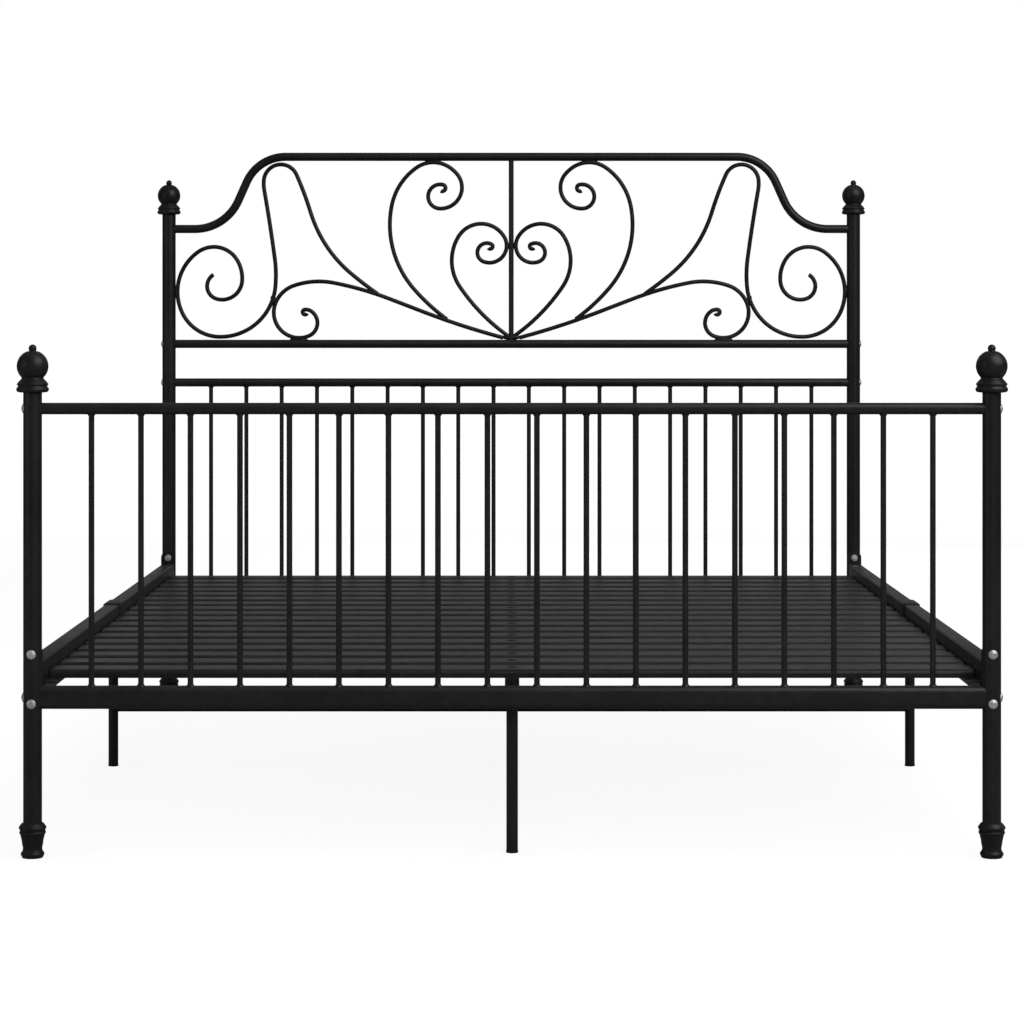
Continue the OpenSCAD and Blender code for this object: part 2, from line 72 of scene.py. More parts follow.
cameraView = {
    "place": (-0.0057, -6.1, 0.9234),
    "lens": 104.45,
    "shiftX": 0.0031,
    "shiftY": -0.190,
}

lens = bpy.data.cameras.new("camera")
lens.lens = cameraView["lens"]
lens.sensor_width = 36
lens.shift_x = cameraView["shiftX"]
lens.shift_y = cameraView["shiftY"]
cameraObject = bpy.data.objects.new("camera", lens)
cameraObject.location = cameraView["place"]
cameraObject.rotation_euler = (math.radians(90), 0, 0)
scene.collection.objects.link(cameraObject)
bpy.context.scene.camera = cameraObject
print("camera set")


# node helpers

def addNode(tree, kind, **values):
    node = tree.nodes.new(kind)
    for key, value in values.items():
        setattr(node, key, value)
    return node


def link(tree, output, target):
    tree.links.new(output, target)


def newGroup(name, inputs, outputs):
    group = bpy.data.node_groups.new(name, "ShaderNodeTree")
    for label, kind, default in inputs:
        socket = group.interface.new_socket(name=label, in_out="INPUT", socket_type=kind)
        socket.default_value = default
    for label, kind in outputs:
        group.interface.new_socket(name=label, in_out="OUTPUT", socket_type=kind)
    return group, group.nodes.new("NodeGroupInput"), group.nodes.new("NodeGroupOutput")


def mathNode(tree, operation, first, second, clamp=False):
    node = addNode(tree, "ShaderNodeMath", operation=operation, use_clamp=clamp)
    for index, value in enumerate((first, second)):
        if isinstance(value, (int, float)):
            node.inputs[index].default_value = value
        elif value is not None:
            link(tree, value, node.inputs[index])
    return node.outputs[0]


def stretch(tree, value, low, high, newLow, newHigh):
    node = addNode(tree, "ShaderNodeMapRange", interpolation_type="SMOOTHSTEP")
    link(tree, value, node.inputs["Value"])
    node.inputs["From Min"].default_value = low
    node.inputs["From Max"].default_value = high
    node.inputs["To Min"].default_value = newLow
    node.inputs["To Max"].default_value = newHigh
    return node.outputs["Result"]


def noise(tree, vector, scale, detail=2.0, roughness=0.5):
    node = addNode(tree, "ShaderNodeTexNoise")
    link(tree, vector, node.inputs["Vector"])
    if isinstance(scale, (int, float)):
        node.inputs["Scale"].default_value = scale
    else:
        link(tree, scale, node.inputs["Scale"])
    node.inputs["Detail"].default_value = detail
    node.inputs["Roughness"].default_value = roughness
    return node.outputs["Fac"]


# shared effects

coatEffect = {"peelDetail": 1.0, "gritDetail": 2.0, "gritRough": 0.6,
              "mottleScale": 9.0, "mottleDetail": 3.0, "mottleRough": 0.6}


def makeCoatRelief(s=coatEffect):
    # the slight orange peel of a baked coating over a finer grit
    group, start, end = newGroup(
        "coatRelief",
        [("peelScale", "NodeSocketFloat", 420.0), ("gritScale", "NodeSocketFloat", 2600.0),
         ("gritShare", "NodeSocketFloat", 0.25)],
        [("Height", "NodeSocketFloat"), ("Mottle", "NodeSocketFloat")],
    )
    place = addNode(group, "ShaderNodeTexCoord").outputs["Object"]
    peel = noise(group, place, start.outputs["peelScale"], s["peelDetail"])
    grit = noise(group, place, start.outputs["gritScale"], s["gritDetail"], s["gritRough"])
    mottle = noise(group, place, s["mottleScale"], s["mottleDetail"], s["mottleRough"])
    share = mathNode(group, "MULTIPLY", grit, start.outputs["gritShare"])
    link(group, mathNode(group, "ADD", peel, share), end.inputs["Height"])
    link(group, mottle, end.inputs["Mottle"])
    return group


# each range: value from, value to, mask from, mask to
dustEffect = {
    "upward": (0.35, 0.98, 0, 1), "patches": (0.35, 0.75, 0.25, 1), "specks": (0.5, 0.75, 0.5, 1),
    "patchDetail": 4.0, "patchRough": 0.65, "speckScale": 900.0, "speckDetail": 1.0,
}


def makeSettledDust(s=dustEffect):
    # thin dust that lies on faces turned upwards, broken up by noise
    group, start, end = newGroup(
        "settledDust",
        [("amount", "NodeSocketFloat", 0.3), ("patchScale", "NodeSocketFloat", 14.0)],
        [("Mask", "NodeSocketFloat")],
    )
    place = addNode(group, "ShaderNodeTexCoord").outputs["Object"]
    split = addNode(group, "ShaderNodeSeparateXYZ")
    link(group, addNode(group, "ShaderNodeNewGeometry").outputs["Normal"], split.inputs[0])
    upward = stretch(group, split.outputs["Z"], *s["upward"])
    patchNoise = noise(group, place, start.outputs["patchScale"], s["patchDetail"], s["patchRough"])
    patches = stretch(group, patchNoise, *s["patches"])
    speckNoise = noise(group, place, s["speckScale"], s["speckDetail"])
    specks = stretch(group, speckNoise, *s["specks"])
    mask = mathNode(group, "MULTIPLY", mathNode(group, "MULTIPLY", upward, patches), specks)
    mask = mathNode(group, "MULTIPLY", mask, start.outputs["amount"], True)
    link(group, mask, end.inputs["Mask"])
    return group


wearEffect = {"edge": (0.52, 0.6, 0, 1), "breaks": (0.35, 0.65, 0.2, 1),
              "breakDetail": 3.0, "breakRough": 0.6}


def makeEdgeWear(s=wearEffect):
    # convex edges polished by handling
    group, start, end = newGroup(
        "edgeWear",
        [("amount", "NodeSocketFloat", 0.5), ("breakScale", "NodeSocketFloat", 60.0)],
        [("Mask", "NodeSocketFloat")],
    )
    place = addNode(group, "ShaderNodeTexCoord").outputs["Object"]
    point = addNode(group, "ShaderNodeNewGeometry").outputs["Pointiness"]
    edge = stretch(group, point, *s["edge"])
    breakNoise = noise(group, place, start.outputs["breakScale"], s["breakDetail"], s["breakRough"])
    broken = stretch(group, breakNoise, *s["breaks"])
    mask = mathNode(group, "MULTIPLY", edge, broken)
    mask = mathNode(group, "MULTIPLY", mask, start.outputs["amount"], True)
    link(group, mask, end.inputs["Mask"])
    return group


coatRelief = makeCoatRelief()
settledDust = makeSettledDust()
edgeWear = makeEdgeWear()


def placeGroup(tree, group, **values):
    node = addNode(tree, "ShaderNodeGroup", node_tree=group)
    for label, value in values.items():
        node.inputs[label].default_value = value
    return node


def mixColour(tree, mask, first, second):
    node = addNode(tree, "ShaderNodeMix", data_type="RGBA")
    link(tree, mask, node.inputs["Factor"])
    for label, value in (("A", first), ("B", second)):
        sockets = [s for s in node.inputs if s.name == label and s.type == "RGBA"]
        if isinstance(value, tuple):
            sockets[0].default_value = value
        else:
            link(tree, value, sockets[0])
    return [s for s in node.outputs if s.type == "RGBA"][0]


def grey(level, warmth=0.0):
    return (level * (1 + warmth), level, level * (1 - warmth), 1)


# finishes

def makeFinish(name, look):
    material = bpy.data.materials.new(name)
    material.use_nodes = True
    tree = material.node_tree
    tree.nodes.clear()
    shader = addNode(tree, "ShaderNodeBsdfPrincipled")
    output = addNode(tree, "ShaderNodeOutputMaterial")
    link(tree, shader.outputs["BSDF"], output.inputs["Surface"])
    relief = placeGroup(tree, coatRelief, peelScale=look["peelScale"],
                        gritScale=look["gritScale"], gritShare=look["gritShare"])
    dust = placeGroup(tree, settledDust, amount=look["dust"], patchScale=look["dustScale"])
    wear = placeGroup(tree, edgeWear, amount=look["wear"], breakScale=look["wearScale"])
    cloud = stretch(tree, relief.outputs["Mottle"], *look["mottleRange"], 0, 1)
    colour = mixColour(tree, cloud, look["dark"], look["light"])
    colour = mixColour(tree, wear.outputs["Mask"], colour, look["worn"])
    colour = mixColour(tree, dust.outputs["Mask"], colour, look["dustColour"])
    link(tree, colour, shader.inputs["Base Color"])
    rough = stretch(tree, relief.outputs["Mottle"], *look["mottleRange"],
                    look["roughLow"], look["roughHigh"])
    rough = mathNode(tree, "SUBTRACT", rough,
                     mathNode(tree, "MULTIPLY", wear.outputs["Mask"], look["wearPolish"]))
    rough = mathNode(tree, "ADD", rough,
                     mathNode(tree, "MULTIPLY", dust.outputs["Mask"], look["dustDull"]), True)
    link(tree, rough, shader.inputs["Roughness"])
    bump = addNode(tree, "ShaderNodeBump")
    bump.inputs["Strength"].default_value = look["bump"]
    bump.inputs["Distance"].default_value = look["bumpDepth"]
    link(tree, relief.outputs["Height"], bump.inputs["Height"])
    link(tree, bump.outputs["Normal"], shader.inputs["Normal"])
    shader.inputs["Metallic"].default_value = look["metallic"]
    shader.inputs["Specular IOR Level"].default_value = look["specular"]
    return material


powderLook = {
    "dark": grey(0.0058), "light": grey(0.0082), "worn": grey(0.016),
    "dustColour": grey(0.12, 0.04), "dust": 0.10, "dustScale": 9.0, "dustDull": 0.3,
    "wear": 0.5, "wearScale": 70.0, "wearPolish": 0.10,
    "peelScale": 520.0, "gritScale": 2400.0, "gritShare": 0.2,
    "roughLow": 0.36, "roughHigh": 0.42, "bump": 0.3, "bumpDepth": 0.00006,
    "mottleRange": (0.3, 0.7), "metallic": 0.0, "specular": 0.5,
}
plasticLook = dict(
    powderLook, dark=grey(0.0062), light=grey(0.008), worn=grey(0.02), dust=0.08,
    peelScale=900.0, gritScale=3600.0, gritShare=0.6, roughLow=0.42, roughHigh=0.5,
    bump=0.3, bumpDepth=0.00008, wear=0.6,
)
zincLook = dict(
    powderLook, dark=grey(0.66, 0.02), light=grey(0.8, 0.01), worn=grey(0.9), dust=0.12,
    peelScale=1400.0, gritScale=5200.0, gritShare=0.5, roughLow=0.36, roughHigh=0.5,
    bump=0.25, bumpDepth=0.00005, wear=0.5, metallic=0.8,
)

powderCoat = makeFinish("blackPowderCoat", powderLook)
capPlastic = makeFinish("mouldedBlackPlastic", plasticLook)
zincPlate = makeFinish("zincPlatedSteel", zincLook)
print("finishes made")


# mesh helpers, all in millimetres

toMetres = 0.001
mergeReach = 0.002
near = 0.01
arcDetail = {"sag": 0.06, "coarsest": 7}  # rod bends: chord height, and the widest step in degrees


def isVert(item):
    return isinstance(item, bmesh.types.BMVert)


def isEdge(item):
    return isinstance(item, bmesh.types.BMEdge)


def isFace(item):
    return isinstance(item, bmesh.types.BMFace)


def finishPiece(name, bm, material, nodes, sharpAngle=40):
    bmesh.ops.remove_doubles(bm, verts=bm.verts, dist=mergeReach)
    bmesh.ops.recalc_face_normals(bm, faces=bm.faces)
    bmesh.ops.scale(bm, vec=(toMetres, toMetres, toMetres), verts=bm.verts)
    mesh = bpy.data.meshes.new(name)
    bm.to_mesh(mesh)
    bm.free()
    mesh.shade_smooth()
    mesh.set_sharp_from_angle(angle=math.radians(sharpAngle))
    mesh.materials.append(material)
    piece = bpy.data.objects.new(name, mesh)
    scene.collection.objects.link(piece)
    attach(piece, "root")
    if nodes:
        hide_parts(*nodes)
    return piece


def lastVerts(bm, count):
    bm.verts.ensure_lookup_table()
    return bm.verts[count:]


def arcPoints(cx, cz, radius, start, end, steps):
    return [(cx + radius * math.cos(math.radians(start + (end - start) * i / steps)),
             cz + radius * math.sin(math.radians(start + (end - start) * i / steps)))
            for i in range(steps + 1)]


def turn(bm, outline, steps=48, closed=False):
    # an outline of (radius, height) points turned about the Z axis
    count = len(bm.verts)
    verts = [bm.verts.new((r, 0, z)) for r, z in outline]
    edges = [bm.edges.new(pair) for pair in zip(verts, verts[1:])]
    if closed:
        edges.append(bm.edges.new((verts[-1], verts[0])))
    bmesh.ops.spin(bm, geom=verts + edges, cent=(0, 0, 0), axis=(0, 0, 1), dvec=(0, 0, 0),
                   angle=math.tau, steps=steps, use_merge=True, use_duplicate=False)
    return lastVerts(bm, count)


def pointAlong(bm, verts, axis, sign):
    # turns a shape made along +Z to point along an axis
    if axis == "X":
        matrix = Matrix.Rotation(sign * math.pi / 2, 3, "Y")
    else:
        matrix = Matrix.Rotation(-sign * math.pi / 2, 3, "X")
    bmesh.ops.rotate(bm, verts=verts, cent=(0, 0, 0), matrix=matrix)


def block(bm, low, high, lengthAxis, radius, segments=4, rim=0.0):
    # a bar with rounded long edges between two corners
    low, high = Vector(low), Vector(high)
    made = bmesh.ops.create_cube(bm, size=1)["verts"]
    bmesh.ops.scale(bm, vec=high - low, verts=made)
    bmesh.ops.translate(bm, vec=(low + high) / 2, verts=made)
    edges = {e for v in made for e in v.link_edges}
    index = "XYZ".index(lengthAxis)
    size = high - low
    long = [e for e in edges
            if abs(e.verts[0].co[index] - e.verts[1].co[index]) > size[index] / 2]
    bmesh.ops.bevel(bm, geom=long, offset=radius, segments=segments, profile=0.5,
                    affect="EDGES", material=-1)
    if rim:
        caps = [f for f in bm.faces if abs(abs(f.normal[index]) - 1) < 1e-4
                and (abs(f.calc_center_median()[index] - low[index]) < near
                     or abs(f.calc_center_median()[index] - high[index]) < near)
                and all(low[k] - near <= v.co[k] <= high[k] + near
                        for v in f.verts for k in range(3))]
        rimEdges = list({e for f in caps for e in f.edges})
        bmesh.ops.bevel(bm, geom=rimEdges, offset=rim, segments=2, profile=0.5,
                        affect="EDGES", material=-1)


def bendRun(bm, start, heading, bends, radius, plane, ringSides=18, cap=1.6):
    # a round rod swept along straights (radius 0) and arcs [radius, sweep] in an upright plane
    ring = bmesh.ops.create_circle(bm, cap_ends=False, segments=ringSides, radius=radius)["verts"]
    bmesh.ops.rotate(bm, verts=ring, cent=(0, 0, 0),
                     matrix=Matrix.Rotation(math.radians(90 - heading), 3, "Y"))
    bmesh.ops.translate(bm, verts=ring, vec=(start[0], plane, start[1]))
    firstEdges = list({e for v in ring for e in v.link_edges})
    edges = list(firstEdges)
    x, z = start
    for bendRadius, sweep in bends:
        h = math.radians(heading)
        if bendRadius == 0:
            made = bmesh.ops.extrude_edge_only(bm, edges=edges)["geom"]
            verts = [g for g in made if isVert(g)]
            step = Vector((sweep * math.cos(h), 0, sweep * math.sin(h)))
            bmesh.ops.translate(bm, verts=verts, vec=step)
            keep = set(verts)
            edges = [g for g in made if isEdge(g) and g.verts[0] in keep and g.verts[1] in keep]
            x, z = x + step.x, z + step.z
            continue
        turnSign = 1 if sweep > 0 else -1
        cx = x - turnSign * bendRadius * math.sin(h)
        cz = z + turnSign * bendRadius * math.cos(h)
        finest = 2 * math.degrees(math.acos(1 - arcDetail["sag"] / bendRadius))
        steps = max(2, math.ceil(abs(sweep) / min(arcDetail["coarsest"], finest)))
        made = bmesh.ops.spin(bm, geom=edges, cent=(cx, plane, cz), axis=(0, -1, 0),
                              dvec=(0, 0, 0), angle=math.radians(sweep), steps=steps,
                              use_merge=False, use_duplicate=False)["geom_last"]
        edges = [g for g in made if isEdge(g)]
        heading += sweep
        h = math.radians(heading)
        x = cx + turnSign * bendRadius * math.sin(h)
        z = cz - turnSign * bendRadius * math.cos(h)
    for loop in (firstEdges, edges):
        faces = bmesh.ops.edgeloop_fill(bm, edges=loop)["faces"]
        if cap:
            rim = list({e for f in faces for e in f.edges})
            bmesh.ops.bevel(bm, geom=rim, offset=cap, segments=3, profile=0.5,
                            affect="EDGES", material=-1)


def tubeBetween(bm, axis, start, end, radius, centre, ringSides=32, wall=0.0, rim=0.0):
    # a round tube or rod along one axis, from start to end, with softened rims
    length = end - start
    if wall:
        outline = [(radius - wall, 0), (radius - rim, 0), (radius, rim),
                   (radius, length - rim), (radius - rim, length), (radius - wall, length)]
        verts = turn(bm, outline, ringSides, closed=True)
    else:
        outline = [(0, 0), (radius - rim, 0), (radius, rim), (radius, length - rim),
                   (radius - rim, length), (0, length)]
        if not rim:
            outline = [(0, 0), (radius, 0), (radius, length), (0, length)]
        verts = turn(bm, outline, ringSides)
    if axis != "Z":
        pointAlong(bm, verts, axis, 1)
    offset = {"X": (start, centre[0], centre[1]), "Y": (centre[0], start, centre[1]),
              "Z": (centre[0], centre[1], start)}[axis]
    bmesh.ops.translate(bm, verts=verts, vec=offset)


# posts

postShape = {"radius": 16, "wall": 1.5, "rim": 0.4, "ringSides": 56}

for end in ("foot", "head"):
    for side in sides:
        node = f"{end}_post_{sideNames[side]}"
        low, high = boxOf(node)
        bm = bmesh.new()
        tubeBetween(bm, "Z", low.z, high.z, postShape["radius"],
                    ((low.x + high.x) / 2, (low.y + high.y) / 2), postShape["ringSides"],
                    postShape["wall"], postShape["rim"])
        finishPiece(f"{node}_tube", bm, powderCoat, [node])
print("posts made")


# finials

turnedSides = 64  # of the finials and the foot caps

# arcs are centre radius, centre height, radius, first and last angle, steps
finialShape = {
    "bead": (0, 75.5, 6.8, 84, -28, 14),
    "neck": (7.6, 71.4, 1.3, 150, 230, 3),
    "ball": (0, 45.2, 27, 70, -44, 28),
    "waist": (21.4, 25.0, 2.6, 160, 222, 5),
    "step": [(21.4, 21.4), (23.8, 18.8)],
    "collar": (24.9, 14.4, 2.0, 66, -66, 8),
    "groove": (26.4, 11.0, 1.3, 132, 218, 3),
    "base": (22.8, 5.4, 5.0, 58, -90, 14),
    "seatRadius": 19, "plugRadius": 14.2, "plugLength": 28, "plugChamfer": 2,
}


def finialOutline(s):
    plug, depth, chamfer = s["plugRadius"], s["plugLength"], s["plugChamfer"]
    outline = [(0, s["bead"][1] + s["bead"][2])]
    for arc in ("bead", "neck", "ball", "waist"):
        outline += arcPoints(*s[arc])
    outline += s["step"]
    for arc in ("collar", "groove", "base"):
        outline += arcPoints(*s[arc])
    return outline + [(s["seatRadius"], 0), (plug, 0), (plug, chamfer - depth),
                      (plug - chamfer, -depth), (0, -depth)]


for end in ("foot", "head"):
    for side in sides:
        post = f"{end}_post_{sideNames[side]}"
        node = f"{end}_finial_{sideNames[side]}"
        centre = middleOf(post)
        bm = bmesh.new()
        verts = turn(bm, finialOutline(finialShape), turnedSides)
        bmesh.ops.translate(bm, verts=verts, vec=(centre.x, centre.y, boxOf(post)[1].z))
        finishPiece(f"{node}_turned", bm, powderCoat, [node], 50)
print("finials made")


# foot caps

footShape = {
    "height": 60, "socketFloor": 34, "socketRadius": 16.1, "mouthRim": 0.4, "mouthDrop": 0.5,
    "underside": [(0, 0.8), (12.2, 0.8), (13.2, 0), (16.6, 0)],
    "heel": (16.6, 1.4, 1.4, -90, -20, 4),
    "bulge": (15.2, 6.6, 4.9, -48, 56, 10),
    "waist": (31.5, 16.5, 15, 204, 158, 12),
    "flare": [(18.6, 30.4), (19.6, 34.4), (20.6, 38.6)],
    "lowerRing": (19.3, 43.4, 3.3, -52, 58, 9),
    "groove": (22.9, 47.4, 1.2, 200, 160, 3),
    "upperRing": (19.3, 51.6, 4.1, -54, 62, 11),
    "shoulder": [(20.0, 57.6), (18.0, 59.3)],
}


def footOutline(s):
    outline = list(s["underside"])
    for arc in ("heel", "bulge", "waist"):
        outline += arcPoints(*s[arc])
    outline += s["flare"]
    for arc in ("lowerRing", "groove", "upperRing"):
        outline += arcPoints(*s[arc])
    mouth, height, floor = s["socketRadius"], s["height"], s["socketFloor"]
    return outline + s["shoulder"] + [(mouth + s["mouthRim"], height),
                                      (mouth, height - s["mouthDrop"]), (mouth, floor), (0, floor)]


for end, prefix in (("foot", "front_foot"), ("head", "rear_foot")):
    for side in sides:
        node = f"{prefix}_{sideNames[side]}"
        centre = middleOf(f"{end}_post_{sideNames[side]}")
        bm = bmesh.new()
        verts = turn(bm, footOutline(footShape), turnedSides)
        bmesh.ops.translate(bm, verts=verts, vec=(centre.x, centre.y, 0))
        finishPiece(f"{node}_cap", bm, capPlastic, [node], 50)
print("foot caps made")


# arch

archShape = {
    "radius": 10, "ringSides": 28, "intoPost": 12,
    "shoulder": [[0, 62], [114, 66], [0, 49], [102, -66]],
}


def runEnd(point, heading, bends):
    x, z = point
    for bendRadius, sweep in bends:
        h = math.radians(heading)
        if bendRadius == 0:
            x, z = x + sweep * math.cos(h), z + sweep * math.sin(h)
        else:
            side = 1 if sweep > 0 else -1
            after = math.radians(heading + sweep)
            x += side * bendRadius * (math.sin(after) - math.sin(h))
            z += side * bendRadius * (math.cos(h) - math.cos(after))
            heading += sweep
    return x, z


archLow = boxOf("arch_end_pegs")
archEndZ = (archLow[0].z + archLow[1].z) / 2
shoulder = archShape["shoulder"]
shoulderEnd = runEnd((-halfWidth, archEndZ), 0, shoulder)
archTopZ = shoulderEnd[1]
trimmed = [[0, shoulder[0][1] - archShape["intoPost"]]] + shoulder[1:]
bm = bmesh.new()
bendRun(bm, (-halfWidth + archShape["intoPost"], archEndZ), 0,
        trimmed + [[0, -2 * shoulderEnd[0]]] + trimmed[::-1],
        archShape["radius"], headY, archShape["ringSides"], 0)
finishPiece("arch_rail_bent_tube", bm, powderCoat, ["arch_rail"])


# straight rails

roundRail = {"radius": 10, "intoPost": 12, "ringSides": 36}

for node in ("scroll_rail", "headboard_bar_rail", "footboard_top_rail"):
    centre = middleOf(node)
    reach = halfWidth - roundRail["intoPost"]
    bm = bmesh.new()
    tubeBetween(bm, "X", -reach, reach, roundRail["radius"], (centre.y, centre.z),
                roundRail["ringSides"])
    finishPiece(f"{node}_tube", bm, powderCoat, [node])

lowerRail = {"depth": 24, "height": 40, "intoPost": 11, "cornerSteps": 9}

for node in ("footboard_lower_rail", "headboard_lower_rail"):
    centre = middleOf(node)
    reach = halfWidth - lowerRail["intoPost"]
    bm = bmesh.new()
    block(bm, (-reach, centre.y - lowerRail["depth"] / 2, centre.z - lowerRail["height"] / 2),
          (reach, centre.y + lowerRail["depth"] / 2, centre.z + lowerRail["height"] / 2),
          "X", lowerRail["depth"] / 2 - near, lowerRail["cornerSteps"])
    finishPiece(f"{node}_oval_tube", bm, powderCoat, [node])
print("rails made")


# upright bars and their weld beads

barShape = {"count": 18, "radius": 5, "into": 6, "ringSides": 20}
beadShape = {"rise": 2.6, "spread": 2.1, "sunk": 0.3, "lip": 0.7, "skirt": 0.5, "steps": 14,
             "swell": 0.042, "waves": 3}

firstBar = boxOf("footboard_bars")[0].x + barShape["radius"]
barStep = -2 * firstBar / (barShape["count"] - 1)
barXs = [firstBar + i * barStep for i in range(barShape["count"])]


def filletOutline(radius, s):
    # a hollow fillet from the bar's wall down into the face that it stands on
    return [(radius - s["sunk"], s["rise"]), (radius + s["lip"], s["rise"] * 0.8),
            (radius + s["spread"] * 0.75, s["rise"] * 0.25), (radius + s["spread"], -s["skirt"])]


def weldBead(bm, x, y, railZ, railRadius, barRadius, up, s=beadShape):
    # a fillet round a bar where it meets a rail; up is 1 when the bar stands on the rail
    verts = turn(bm, filletOutline(barRadius, s), s["steps"])
    phase = random.uniform(0, math.tau)
    for v in verts:
        around = math.atan2(v.co.y, v.co.x)
        swell = 1 + s["swell"] * math.sin(s["waves"] * around + phase)
        v.co.x, v.co.y = v.co.x * swell, v.co.y * swell
        drop = math.sqrt(max(railRadius ** 2 - v.co.y ** 2, 0))
        v.co.z = railZ + up * (drop + v.co.z)
        v.co.x += x
        v.co.y += y


for end, y in (("foot", footY), ("head", headY)):
    node = f"{end}board_bars"
    low, high = boxOf(node)
    topRail = middleOf("footboard_top_rail" if end == "foot" else "headboard_bar_rail")
    lower = middleOf(f"{end}board_lower_rail")
    lowerArcZ = lower.z + (lowerRail["height"] - lowerRail["depth"]) / 2
    bars = bmesh.new()
    beads = bmesh.new()
    for x in barXs:
        tubeBetween(bars, "Z", lower.z + lowerRail["height"] / 2 - barShape["into"],
                    topRail.z - roundRail["radius"] + barShape["into"],
                    barShape["radius"], (x, y), barShape["ringSides"])
        weldBead(beads, x, y, lowerArcZ, lowerRail["depth"] / 2, barShape["radius"], 1)
        weldBead(beads, x, y, topRail.z, roundRail["radius"], barShape["radius"], -1)
    finishPiece(f"{node}_tubes", bars, powderCoat, [node])
    finishPiece(f"{end}board_weld_beads", beads, powderCoat, [], 60)

centreBar = {"radius": 6, "into": 5, "ringSides": 24}
scrollRail = middleOf("scroll_rail")
bm = bmesh.new()
tubeBetween(bm, "Z", scrollRail.z + roundRail["radius"] - centreBar["into"],
            archTopZ - roundRail["radius"] + centreBar["into"], centreBar["radius"],
            (0, headY), centreBar["ringSides"])
finishPiece("centre_bar_tube", bm, powderCoat, ["centre_bar"])
print("bars and beads made")


# scroll rods

rodShape = {"radius": 5, "ringSides": 18, "endRounding": 1.6}
rodRuns = {
    "outer_scroll": ((-713, 1026), -149.5, [
        [32, 135], [48, 99.5], [85, 36], [65, 94], [117, 82.5], [100, 60.5], [132, 86.5],
        [297, 13], [3820, 2.5], [93, -15], [41, -151], [790, -7], [310, 33], [890, 5.2]]),
    "curl_brace": ((-488.6, 933.3), 240.5, [
        [6, -236], [24, -41], [34, -122.5], [61, -135], [73, -47], [185, -30], [800, -10],
        [0, 89], [1850, 6], [0, 5]]),
    "outer_heart": ((-154, 919), 143.5, [
        [0, 4], [475, -12.5], [235, -52], [146, -44], [70, -70.5], [91, -13.5], [50, -66.5],
        [51, -67.5], [29, -190], [8, -195.5]]),
    "inner_heart": ((-6, 878), 145, [
        [460, -21], [111, -65], [64, -118.5], [41, -140.5], [23, -187.5], [6, -205]]),
}

for name, (start, heading, bends) in rodRuns.items():
    for side in sides:
        node = f"{name}_{sideNames[side]}"
        bm = bmesh.new()
        bendRun(bm, start, heading, bends, rodShape["radius"], headY,
                rodShape["ringSides"], rodShape["endRounding"])
        if side > 0:
            bmesh.ops.scale(bm, vec=(-1, 1, 1), verts=bm.verts)
        finishPiece(f"{node}_rod", bm, powderCoat, [node], 60)
print("scroll rods made")


# weld pads of the scrollwork

# each pad: x, z, half length, half height, half depth, lean in degrees
padShape = {"steps": 16, "stations": 8, "bluntness": 0.8, "railOffset": 10.5}
scrollPads = [
    (-188, archTopZ - padShape["railOffset"], 19, 3.6, 5.2, 0),
    (-509, scrollRail.z + padShape["railOffset"], 22, 3.6, 5.2, 0),
    (-802, 987, 4.2, 13, 5.2, 0),
    (-569, 966, 6.5, 11, 4.4, 28),
    (-9.5, 1095, 4.2, 11, 4.4, 0),
    (-2.5, 876, 20, 6.5, 5.6, 0),
]


def weldPad(bm, x, z, halfLength, halfHeight, halfDepth, lean):
    outline = [(math.sin(math.pi * i / padShape["stations"]) ** padShape["bluntness"],
                -math.cos(math.pi * i / padShape["stations"]))
               for i in range(padShape["stations"] + 1)]
    outline[0], outline[-1] = (0, -1), (0, 1)
    verts = turn(bm, outline, padShape["steps"])
    pointAlong(bm, verts, "X", 1)
    bmesh.ops.scale(bm, vec=(halfLength, halfDepth, halfHeight), verts=verts)
    bmesh.ops.rotate(bm, verts=verts, cent=(0, 0, 0),
                     matrix=Matrix.Rotation(math.radians(-lean), 3, "Y"))
    bmesh.ops.translate(bm, verts=verts, vec=(x, headY, z))


for side in sides:
    bm = bmesh.new()
    for pad in scrollPads:
        weldPad(bm, *pad)
    if side > 0:
        bmesh.ops.scale(bm, vec=(-1, 1, 1), verts=bm.verts)
    finishPiece(f"scrollwork_welds_{sideNames[side]}", bm, powderCoat,
                [], 60)
print("weld pads made")


# side rails

sideRail = {"corner": 3, "cornerSteps": 5, "rim": 0.8, "taperLength": 40, "socketGrow": 2.5,
            "socketCorner": 4, "mouthReach": 4}

